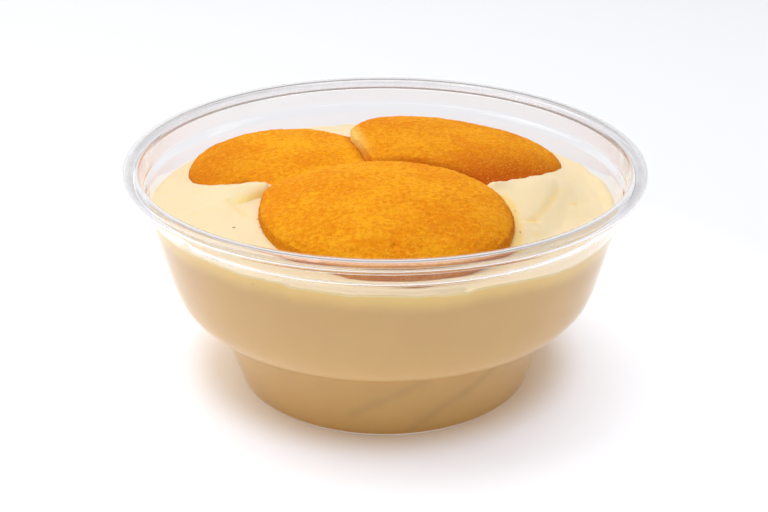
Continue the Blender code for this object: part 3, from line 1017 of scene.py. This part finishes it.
def pudding_material(look):
    """Cream on top, with painted light beside the front wall. Against the wall it is tan and partly darkened
    with painted shade, with a pale line and a yellow band of painted light at its upper edge.
    """
    name = "Banana pudding"
    if name in bpy.data.materials:
        return bpy.data.materials[name]
    material, tree, shader = new_material(name)
    place, grain = place_grain(tree, *PUDDING_GRAIN)
    patches = grain.outputs["Patches"]
    depth = attribute(tree, "wall_depth")
    height = add_node(tree, "ShaderNodeSeparateXYZ", {0: place}).outputs["Z"]
    # The yellow band of painted light just below the line at the wall
    ragged = calculate(tree, "MULTIPLY", calculate(tree, "SUBTRACT", patches, 0.5), BAND_RAGGED)
    below = calculate(tree, "ADD", depth, ragged)
    against = mix_colours(tree, spread(tree, below, *BAND_ENDS), look.edge, look.side)
    # The side's tan and the darker foot below it are partly painted shade
    foot_top = FOOT[-1][1]
    in_foot = spread(tree, height, foot_top + FOOT_BLEND, foot_top - FOOT_BLEND)
    against = mix_colours(tree, in_foot, against, look.foot)
    swirled = tuple(part * SWIRL_DARKENS for part in look.foot)
    against = mix_colours(tree, attribute(tree, "swirl"), against, swirled)
    pale_line = mix_colours(tree, spread(tree, depth, *LIP_ENDS), look.lip, against)
    # Painted light on the top beside the front wall
    free = mix_colours(tree, attribute(tree, "brim"), look.top, look.brim)
    fading = mix_colours(tree, spread(tree, depth, *TOP_ENDS), free, pale_line)
    # Yellow marks: the pudding's own yellow bits, and painted shade in the creases and on the fold's face
    base = mix_colours(tree, attribute(tree, "wet"), fading, look.yellow_and_shade_tone)
    base = mix_colours(tree, spread(tree, patches, *MOTTLES), base, look.yellow_and_shade_tone)
    specks = place_specks(tree, place, *SIDE_SPECKS)
    dulled = tuple(part * tone for part, tone in zip(look.foot, SPECK_TONE))
    on_side = spread(tree, depth, *SPECKS_START)
    base = mix_colours(tree, calculate(tree, "MULTIPLY", specks, on_side), base, dulled)
    values = {
        "Base Color": base,
        "Roughness": look.roughness,
        "Subsurface Weight": SOFT_WEIGHT,
        "Subsurface Radius": SOFT_RADIUS,
        "Subsurface Scale": SOFT_SCALE,
    }
    set_inputs(tree, shader, values)
    add_bump(tree, shader, grain.outputs["Height"], *PUDDING_BUMPS)
    return material


# The wafers

# Small pits in the front wafer's top: middle, radius and depth, in millimetres
PITS = (
    ((7.5, -25.1), 0.55, 0.30),
    ((1.5, -34.8), 0.45, 0.35),
    ((15.4, -31.6), 0.40, 0.25),
    ((18.6, -12.4), 0.60, -0.25),
)

# The straight side of the right wafer faces this way, and is palest at this place in millimetres
PALE_SIDE = math.radians(197.5)
PALE_MIDDLE = (-6.0, 19.0)
PALE_REACH = 6.5

# How far its faces may turn from that way, how softly they start, how far to the left of the
# wafer's middle they lie, in metres, and the size and seed of their crumbs
SIDE_TURNS = 0.25
SIDE_SOFTNESS = 0.45
SIDE_AWAY = 0.012
SIDE_CRUMBS = (0.0009, 3.0)

# The baked grain as layers of strength, size and seed, and how strongly the surface is softened
BAKED_LAYERS = ((1.0, 0.00042, 2.0), (1.3, 0.0011, 6.0), (2.0, 0.0042, 9.0))
SOFTEN_SHARE = 0.5
SOFTEN_TIMES = 5

# The browned rim: its strength, the slopes over which it comes in, how much of it goes again and
# the slopes over which that goes
RIM_STRENGTH = 0.7
RIM_STARTS = (0.10, 0.60)
RIM_LOSES = 0.6
RIM_ENDS = (0.70, 1.0)

# The wafers' material: the size of its patches and of its grains with their contrast, its broad
# mottling and the range that is spread over both tones, the lighter grains on the bumps' peaks as
# painted highlights, the darker grains in their hollows as painted shade, how glossy it is and the
# height of its bumps
WAFER_GRAIN = (0.0009, 0.00036, 1.6)
WAFER_MOTTLES = {"Scale": 110.0, "Detail": 2.0, "Roughness": 0.5}
WAFER_TONES = (0.68, 1.32)
WAFER_GRAIN_HIGHLIGHTS = (0.55, 0.95, 0.0, 0.60)
WAFER_GRAIN_SHADE = (0.45, 0.05, 0.0, 0.50)
WAFER_GLOSS = 0.05
WAFER_BUMPS = 0.00015

# The side on which each wafer is baked darkest, how dark it is there, and how dark all over
DARK_SIDES = {
    "wafer_front": (math.radians(-35), 0.17, 0.0),
    "wafer_right": (math.radians(-60), 0.88, 0.12),
    "wafer_left": (math.radians(205), 0.30, 0.0),
}
DARK_FROM = 0.05
DARK_UNTIL = 0.85

# The neighbours that each wafer is closed up to
CLOSED_TO = {
    "wafer_front": (),
    "wafer_right": ("wafer_front",),
    "wafer_left": ("wafer_front", "wafer_right"),
}
CLOSE_REACH = 0.0011
CLOSE_FADE = 0.0005
CLOSE_OVERLAP = 0.00005
# How far from a neighbour the painted contact shadow fades, in metres
SEAM_SHADE = 0.0009

# The shaded notch of the left wafer above the fold, in millimetres
NOTCH = ((-27.6, -1.0), (-26.4, -0.8), (-25.3, -0.9))
NOTCH_WIDTH = 0.8
NOTCH_SHADE = 0.35


def close_up(name, points):
    """Moves a wafer's nearest points onto its neighbours. Returns them and the gaps they had."""
    trees = [search_tree(other) for other in CLOSED_TO[name]]
    gaps = np.full(len(points), np.inf)
    moved = points.copy()
    for tree in trees:
        for i, point in enumerate(points):
            near, _, _, gap = tree.find_nearest(Vector(point), 3 * CLOSE_REACH)
            if near is None:
                continue
            gaps[i] = min(gaps[i], gap)
            part = min(max((CLOSE_REACH - gap) / CLOSE_FADE, 0.0), 1.0)
            if part > 0 and gap > 0:
                moved[i] += (np.array(near) - point) / gap * (gap + CLOSE_OVERLAP) * part
    return moved, gaps


def fine_faces(wafer, look):
    """Remeshes a wafer finely and softens it. Returns its mesh."""
    remesh = wafer.modifiers.new("Fine faces", "REMESH")
    remesh.mode = "VOXEL"
    remesh.voxel_size = look.voxel
    remesh.use_smooth_shade = True
    soften = wafer.modifiers.new("Soften", "SMOOTH")
    soften.factor = SOFTEN_SHARE
    soften.iterations = SOFTEN_TIMES
    return make_plain(wafer)


def straight_side(points, normals, middle):
    """How far each point is part of the right wafer's straight side, and how pale it is there."""
    facing = normals[:, 0] * math.cos(PALE_SIDE) + normals[:, 1] * math.sin(PALE_SIDE)
    near = np.hypot(points[:, 0] / MM - PALE_MIDDLE[0], points[:, 1] / MM - PALE_MIDDLE[1])
    side = np.clip((facing - SIDE_TURNS) / SIDE_SOFTNESS, 0, 1) * (points[:, 0] < middle.x - SIDE_AWAY)
    return side, side * np.exp(-((near / PALE_REACH) ** 2))


def baked_rise(name, look, points, normals):
    """How far the baked grain and the pits move each point of a wafer outwards."""
    rise = np.zeros(len(points))
    for strength, size, seed in BAKED_LAYERS:
        rise += look.grain * strength * noise_at(points, size, seed)
    if name == "wafer_front":
        for (x, y), radius, depth in PITS:
            apart = np.hypot(points[:, 0] / MM - x, points[:, 1] / MM - y) / radius
            rise -= depth * MM * np.exp(-(apart**2)) * (normals[:, 2] > 0)
    return rise


def make_wafer(name, look):
    """One baked wafer: its solid, remeshed finely, grained and closed up to its neighbours."""
    wafer = merged_copy(name, f"{name}_baked")
    mesh = fine_faces(wafer, look)
    points = array_of(mesh.vertices, "co")
    normals = array_of(mesh.vertex_normals, "vector")
    moved, gaps = close_up(name, points)
    low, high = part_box(name)
    middle = (low + high) / 2
    pale = np.zeros(len(points))
    if name == "wafer_right":
        side, pale = straight_side(points, normals, middle)
        moved += normals * (look.crumble * noise_at(points, *SIDE_CRUMBS) * side)[:, None]
    set_points(mesh, moved + normals * baked_rise(name, look, points, normals)[:, None])
    towards, darkness, all_over = DARK_SIDES[name]
    arms = (points[:, :2] - middle[:2]) / ((high.x - low.x) / 2)
    reach = arms[:, 0] * math.cos(towards) + arms[:, 1] * math.sin(towards)
    dark = all_over + darkness * smooth_step(reach, DARK_FROM, DARK_UNTIL)
    # Painted contact shadow near the neighbours, and painted shade in the notch above the fold
    seam = np.exp(-((gaps / SEAM_SHADE) ** 2))
    if name == "wafer_left":
        notch = near_stroke(points[:, 0] / MM, points[:, 1] / MM, NOTCH, NOTCH_WIDTH)
        seam = np.maximum(seam, NOTCH_SHADE * notch)
    slope = 1 - np.clip(normals[:, 2], 0, 1)
    rim = RIM_STRENGTH * smooth_step(slope, *RIM_STARTS) * (1 - RIM_LOSES * smooth_step(slope, *RIM_ENDS))
    for label, values in (("pale", pale), ("rim", rim), ("dark", dark), ("seam", seam)):
        add_attribute(mesh, label, values)
    mesh.shade_smooth()
    finish_piece(wafer, wafer_material(look), "wafer", name)


def wafer_material(look):
    """Golden crumb, browned at its rim and pale on its straight side, with painted highlights and painted
    shade on its grain and a painted shadow where wafers meet.
    """
    name = "Baked wafer"
    if name in bpy.data.materials:
        return bpy.data.materials[name]
    material, tree, shader = new_material(name)
    place, grain = place_grain(tree, *WAFER_GRAIN)
    broad = add_node(tree, "ShaderNodeTexNoise", {"Vector": place, **WAFER_MOTTLES})
    mottling = calculate(tree, "ADD", broad.outputs["Fac"], grain.outputs["Patches"])
    base = mix_colours(tree, spread(tree, mottling, *WAFER_TONES), look.browned, look.golden)
    for label, tone in (("rim", look.edge), ("dark", look.dark), ("pale", look.pale)):
        base = mix_colours(tree, attribute(tree, label), base, tone)
    # Painted highlights on the peaks of the grain's bumps and painted shade in their hollows
    for stretch, tone in ((WAFER_GRAIN_HIGHLIGHTS, look.grain_highlight), (WAFER_GRAIN_SHADE, look.edge)):
        base = mix_colours(tree, spread(tree, grain.outputs["Grain"], *stretch), base, tone)
    # Painted contact shadow where wafers meet
    base = mix_colours(tree, attribute(tree, "seam"), base, look.seam)
    values = {"Base Color": base, "Roughness": look.roughness, "Specular IOR Level": WAFER_GLOSS}
    set_inputs(tree, shader, values)
    add_bump(tree, shader, grain.outputs["Height"], WAFER_BUMPS)
    return material


# Sugar, crumbs and flecks


# Sugar: the steepest faces that hold it, as the Z of their normals, its seed, how rough it is, and
# the least and the most that a grain is stretched and turned
SUGAR_STEEPEST = 0.2
SUGAR_SEED = 7
SUGAR_ROUGHNESS = 0.7
GRAIN_STRETCH = ((0.45, 0.45, 0.35), (1.15, 1.0, 0.8))
GRAIN_TURN = ((0.0, 0.0, 0.0), (math.tau, math.tau, math.tau))

# The material of the small things: size of its patches and its grains, contrast, and darker tone
LOOSE_GRAIN = (0.0012, 0.0003, 1.4)
LOOSE_DARKENS = 0.8


def scatter_tree():
    """Geometry nodes that scatter small uneven grains over the upper faces of a surface."""
    sizes = {"Density": "Float", "Size": "Float", "Steepest": "Float", "Seed": "Int"}
    inputs = {"Surface": "Geometry", **sizes, "Material": "Material"}
    tree, given, made = new_tree("Scattered grains", "GeometryNodeTree", inputs, {"Geometry": "Geometry"})
    normal = add_node(tree, "GeometryNodeInputNormal").outputs[0]
    facing = add_node(tree, "ShaderNodeSeparateXYZ", {0: normal}).outputs["Z"]
    upper = calculate(tree, "GREATER_THAN", facing, given["Steepest"])
    seed = given["Seed"]
    where = {"Mesh": given["Surface"], "Selection": upper, "Density": given["Density"], "Seed": seed}
    spots = add_node(tree, "GeometryNodeDistributePointsOnFaces", where, distribute_method="RANDOM")
    grain = add_node(tree, "GeometryNodeMeshIcoSphere", {"Subdivisions": 1, "Radius": given["Size"]})
    draws = []
    for (least, most), own_seed in ((GRAIN_STRETCH, seed), (GRAIN_TURN, calculate(tree, "ADD", seed, 1))):
        values = {"Min": least, "Max": most, "Seed": own_seed}
        draw = add_node(tree, "FunctionNodeRandomValue", values, data_type="FLOAT_VECTOR")
        draws.append(draw.outputs["Value"])
    values = {
        "Points": spots.outputs["Points"],
        "Instance": grain.outputs["Mesh"],
        "Scale": draws[0],
        "Rotation": draws[1],
    }
    placed = add_node(tree, "GeometryNodeInstanceOnPoints", values)
    finish_tree(tree, placed.outputs[0], given["Material"], made["Geometry"])
    return tree


def grain_material(name, tone, roughness):
    """Patches of a tone and a darker one, for the small things."""
    material, tree, shader = new_material(name)
    _, grain = place_grain(tree, *LOOSE_GRAIN)
    darker = tuple(part * LOOSE_DARKENS for part in tone)
    base = mix_colours(tree, grain.outputs["Patches"], darker, tone)
    set_inputs(tree, shader, {"Base Color": base, "Roughness": roughness})
    return material


def make_sugar():
    look = settings("sprinkle")
    shape = bmesh.new()
    for name in WAFERS:
        shape.from_mesh(bpy.data.objects[f"{name}_baked"].data)
    sugar = new_object("sugar_grains", mesh_of(shape, "sugar_grains"))
    material = grain_material("Sugar", look.sugar, SUGAR_ROUGHNESS)
    values = {
        "Density": look.sugar_density / MM**2,
        "Size": look.sugar_size,
        "Steepest": SUGAR_STEEPEST,
        "Seed": SUGAR_SEED,
        "Material": material,
    }
    run_nodes(sugar, scatter_tree(), values)
    finish_piece(sugar, material, "wafer")


# Crumbs beside the wafers: place and radius in millimetres
CRUMBS = (
    ((-21.9, -18.4), 0.20),
    ((-21.2, -21.6), 0.22),
    ((-20.5, -23.7), 0.24),
    ((-22.1, -15.6), 0.16),
    ((22.9, -12.4), 0.20),
    ((23.1, -19.9), 0.22),
)

# A crumb's shape as shares of its radius, the turn from one to the next, how deep they are sunk as
# a share of their height, and how rough they are
CRUMB_SHAPE = (1.0, 0.8, 0.7)
CRUMB_TURN = 1.7
CRUMB_SINK = 0.4
CRUMB_ROUGHNESS = 0.8

# Dark flecks in the pudding's top: place, half length, half width, turn
FLECKS = (((-25.6, -20.6), 0.36, 0.16, math.radians(15)),)

# Half a fleck's height in millimetres, how deep it is sunk and how rough it is
FLECK_HEIGHT = 0.10
FLECK_SINK = 0.45
FLECK_ROUGHNESS = 0.5

# How uneven the small lumps are, how many waves that takes, and the step from seed to seed
LUMP_UNEVEN = 0.25
LUMP_WAVES = 1.7
LUMP_SEEDS = 3.1


def small_lump(shape, middle, size, turn, seed):
    """Adds one uneven lump to a bmesh."""
    made = bmesh.ops.create_icosphere(shape, subdivisions=2, radius=1.0)
    matrix = Matrix.Translation(middle) @ Matrix.Rotation(turn, 4, "Z") @ Matrix.Diagonal((*size, 1.0))
    for vertex in made["verts"]:
        vertex.co *= 1 + LUMP_UNEVEN * noise.noise(vertex.co * LUMP_WAVES + Vector((seed, 0, 0)))
        vertex.co = matrix @ vertex.co


def scattered_piece(name, lumps, material, slot):
    """One piece of several small lumps that lie on the pudding."""
    tree = surface_tree(bpy.data.objects["pudding_fill"])
    shape = bmesh.new()
    for i, ((x, y), size, turn, sink) in enumerate(lumps):
        hit = seen_from_above(tree, x * MM, y * MM)
        if hit is None:
            raise RuntimeError(f"{name}: nothing lies under {x}, {y}")
        middle = hit + Vector((0, 0, (1 - 2 * sink) * size[2] * MM))
        small_lump(shape, middle, [part * MM for part in size], turn, i * LUMP_SEEDS)
    mesh = mesh_of(shape, name)
    mesh.shade_smooth()
    finish_piece(new_object(name, mesh), material, slot)


def make_crumbs():
    look = settings("sprinkle")
    lumps = []
    for i, (spot, radius) in enumerate(CRUMBS):
        lumps.append((spot, [radius * part for part in CRUMB_SHAPE], CRUMB_TURN * i, CRUMB_SINK))
    material = grain_material("Crumbs", look.crumb, CRUMB_ROUGHNESS)
    scattered_piece("wafer_crumbs", lumps, material, "wafer")
    flecks = [(spot, (long, wide, FLECK_HEIGHT), turn, FLECK_SINK) for spot, long, wide, turn in FLECKS]
    material = grain_material("Flecks", look.fleck, FLECK_ROUGHNESS)
    scattered_piece("banana_flecks", flecks, material, "pudding")


# The stage

# How rough and how glossy the table is
FLOOR_ROUGHNESS = 0.6
FLOOR_GLOSS = 0.2

# The camera: distance to the middle of the cup, height of that point, angles, lens and the nearest
# that it sees
CAMERA_DISTANCE = 0.25
TARGET_HEIGHT = 0.020
CAMERA_ELEVATION = math.radians(25.482)
CAMERA_PITCH = math.radians(24.994)
CAMERA_ROLL = math.radians(0.206)
CAMERA_SIDEWAYS = -0.000137
SENSOR = 36.0
LENS = 61.73
NEAREST_SEEN = 0.01

# Softboxes: place, size, and how bright they look
SOFTBOXES = {
    "Key light": ((-0.42, 0.10, 0.62), (0.60, 0.60), 1.75),
    "Overhead light": ((0.0, 0.05, 0.85), (0.60, 0.50), 2.4),
    "Right light": ((0.62, 0.05, 0.42), (0.25, 0.45), 0.8),
}

# The middle of the table's dim patch round the cup, the distances over which it ends, and
# those over which the brighter ring round it fades
DIM_PATCH = (-0.001, 0.005, 0.0)
DIM_ENDS = (0.031, 0.042)
RING_FADES = (0.058, 0.105)

# The room: how far back a direction points where the backdrop starts, and by the height of a
# direction where the backdrop ends and where the ceiling starts
BACKDROP_STARTS = (-0.25, 0.8)
BACKDROP_ENDS = (0.30, 0.42)
CEILING_STARTS = (0.70, 0.95)


def add_softbox(name, place, size, radiance):
    light = bpy.data.lights.new(name, "AREA")
    light.shape = "RECTANGLE"
    light.size, light.size_y = size
    light.energy = radiance * size[0] * size[1] * math.pi
    thing = new_object(name, light)
    thing.location = place
    thing.rotation_euler = (Vector((0, 0, TARGET_HEIGHT)) - Vector(place)).to_track_quat("-Z", "Y").to_euler()


def make_room(look):
    """A white backdrop in a dimmer room with a light ceiling. The camera sees it all as white."""
    world = bpy.data.worlds.new("Room")
    world.use_nodes = True
    tree = world.node_tree
    direction = add_node(tree, "ShaderNodeTexCoord").outputs["Generated"]
    apart = add_node(tree, "ShaderNodeSeparateXYZ", {0: direction}).outputs
    level = spread(tree, apart["Y"], *BACKDROP_STARTS, look.front_light, look.back_light)
    for heights, light in ((BACKDROP_ENDS, look.upper_light), (CEILING_STARTS, look.top_light)):
        change = calculate(tree, "SUBTRACT", light, level)
        above = spread(tree, apart["Z"], *heights)
        level = calculate(tree, "ADD", level, calculate(tree, "MULTIPLY", above, change))
    leaning = calculate(tree, "MULTIPLY", apart["X"], -look.lean)
    level = calculate(tree, "MULTIPLY", level, calculate(tree, "ADD", leaning, 1.0))
    seen = add_node(tree, "ShaderNodeLightPath").outputs["Is Camera Ray"]
    shown = calculate(tree, "MAXIMUM", level, seen)
    set_inputs(tree, tree.nodes["Background"], {"Color": (1.0, 1.0, 1.0, 1.0), "Strength": shown})
    bpy.context.scene.world = world


def make_camera():
    data = bpy.data.cameras.new("Camera")
    data.sensor_width = SENSOR
    data.lens = LENS
    data.clip_start = NEAREST_SEEN
    camera = new_object("Camera", data)
    back = -CAMERA_DISTANCE * math.cos(CAMERA_ELEVATION)
    up = TARGET_HEIGHT + CAMERA_DISTANCE * math.sin(CAMERA_ELEVATION)
    place = Matrix.Translation((CAMERA_SIDEWAYS, back, up))
    place @= Matrix.Rotation(math.pi / 2 - CAMERA_PITCH, 4, "X") @ Matrix.Rotation(CAMERA_ROLL, 4, "Z")
    camera.matrix_world = place
    bpy.context.scene.camera = camera


def make_floor(look):
    half = look.floor_size / 2
    mesh = bpy.data.meshes.new("floor")
    corners = [(-half, -half, 0), (half, -half, 0), (half, half, 0), (-half, half, 0)]
    mesh.from_pydata(corners, [], [(0, 1, 2, 3)])
    floor = new_object("floor", mesh)
    material, tree, shader = new_material("White table")
    place = add_node(tree, "ShaderNodeTexCoord").outputs["Object"]
    ends = {0: place, 1: DIM_PATCH}
    away = add_node(tree, "ShaderNodeVectorMath", ends, operation="DISTANCE").outputs["Value"]
    values = {
        "Base Color": (*look.floor, 1.0),
        "Roughness": FLOOR_ROUGHNESS,
        "Specular IOR Level": FLOOR_GLOSS,
        "Emission Color": mix_colours(tree, spread(tree, away, *DIM_ENDS), look.glow_near, look.glow_far),
        "Emission Strength": spread(tree, away, *RING_FADES, look.glow, look.glow_beyond),
    }
    set_inputs(tree, shader, values)
    mesh.materials.append(material)


def make_stage():
    look = settings("stage")
    make_floor(look)
    make_room(look)
    for name, (place, size, radiance) in SOFTBOXES.items():
        add_softbox(name, place, size, radiance)
    make_camera()
    bpy.context.scene.view_settings.view_transform = "Standard"


# The add-on


class PUDDING_OT_cup(bpy.types.Operator):
    """Turn the clear cup with its rolled rim"""

    bl_idname = "pudding.cup"
    bl_label = "Clear Cup"

    def execute(self, context):
        make_cup()
        return {"FINISHED"}


class PUDDING_OT_filling(bpy.types.Operator):
    """Fill the cup with pudding up to the wafers"""

    bl_idname = "pudding.filling"
    bl_label = "Pudding"

    def execute(self, context):
        make_pudding()
        return {"FINISHED"}


class PUDDING_OT_wafers(bpy.types.Operator):
    """Bake the three vanilla wafers and lap the fold of pudding over them"""

    bl_idname = "pudding.wafers"
    bl_label = "Wafers"

    def execute(self, context):
        for name in WAFERS:
            make_wafer(name, settings("wafer"))
        make_fold()
        return {"FINISHED"}


class PUDDING_OT_sprinkle(bpy.types.Operator):
    """Scatter the sugar grains, the crumbs and the flecks"""

    bl_idname = "pudding.sprinkle"
    bl_label = "Sugar and Crumbs"

    def execute(self, context):
        make_sugar()
        make_crumbs()
        return {"FINISHED"}


class PUDDING_OT_stage(bpy.types.Operator):
    """Set the floor, the lights and the camera"""

    bl_idname = "pudding.stage"
    bl_label = "Stage"

    def execute(self, context):
        make_stage()
        return {"FINISHED"}


OPERATORS = (
    PUDDING_OT_stage,
    PUDDING_OT_cup,
    PUDDING_OT_filling,
    PUDDING_OT_wafers,
    PUDDING_OT_sprinkle,
)
LOOKS = {
    "cup": CupLook,
    "pudding": PuddingLook,
    "wafer": WaferLook,
    "sprinkle": SprinkleLook,
    "stage": StageLook,
}


class PUDDING_PT_pieces(bpy.types.Panel):
    """Lists the pieces and their sizes and colours"""

    bl_label = "Pudding Cup"
    bl_idname = "PUDDING_PT_pieces"
    bl_space_type = "VIEW_3D"
    bl_region_type = "UI"
    bl_category = "Pudding"

    def draw(self, context):
        for operator in OPERATORS:
            self.layout.operator(operator.bl_idname)
        for group, look in LOOKS.items():
            box = self.layout.box()
            box.label(text=group.capitalize())
            for name in look.__annotations__:
                box.prop(settings(group), name)


def register():
    for part in (*LOOKS.values(), *OPERATORS, PUDDING_PT_pieces):
        bpy.utils.register_class(part)
    for group, look in LOOKS.items():
        setattr(bpy.types.Scene, f"pudding_cup_{group}", PointerProperty(type=look))


def unregister():
    for group in LOOKS:
        delattr(bpy.types.Scene, f"pudding_cup_{group}")
    for part in reversed((*LOOKS.values(), *OPERATORS, PUDDING_PT_pieces)):
        bpy.utils.unregister_class(part)


def main():
    register()
    bpy.ops.pudding.stage()
    bpy.ops.pudding.cup()
    bpy.ops.pudding.filling()
    bpy.ops.pudding.wafers()
    bpy.ops.pudding.sprinkle()


if __name__ == "__main__":
    main()
